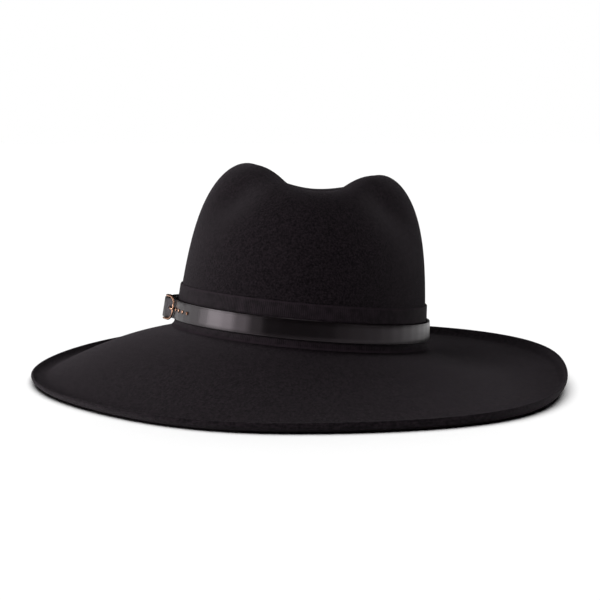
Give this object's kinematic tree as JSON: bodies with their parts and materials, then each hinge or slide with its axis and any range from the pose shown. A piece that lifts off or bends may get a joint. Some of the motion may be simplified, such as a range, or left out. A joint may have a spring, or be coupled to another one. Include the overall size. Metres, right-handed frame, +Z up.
{
  "type": "wide-brim felt hat",
  "caption": "Wide-brim felt fedora with a creased, pinched crown, a rolled brim edge, a grosgrain ribbon and a narrow buckled leather strap.",
  "frame": {"origin": "centre of the hat's footprint on the surface that the brim rests on", "axes": "+Z up, the hat's front faces -Y and the wearer's left is +X"},
  "size_m": [0.3658, 0.4067, 0.1487],
  "materials": {
    "felt": "matte",
    "grosgrain": "ribbed satin",
    "strap_leather": "smooth semi-gloss",
    "antique_copper": "antiqued"
  },
  "bodies": {
    "root": {"felt_body": "felt", "ribbon_band": "grosgrain", "belt_strap": "strap_leather", "buckle_frame": "antique_copper", "buckle_prong": "antique_copper", "eyelet_1": "antique_copper", "eyelet_2": "antique_copper", "eyelet_3": "antique_copper", "eyelet_4": "antique_copper"}
  },
  "joints": []
}
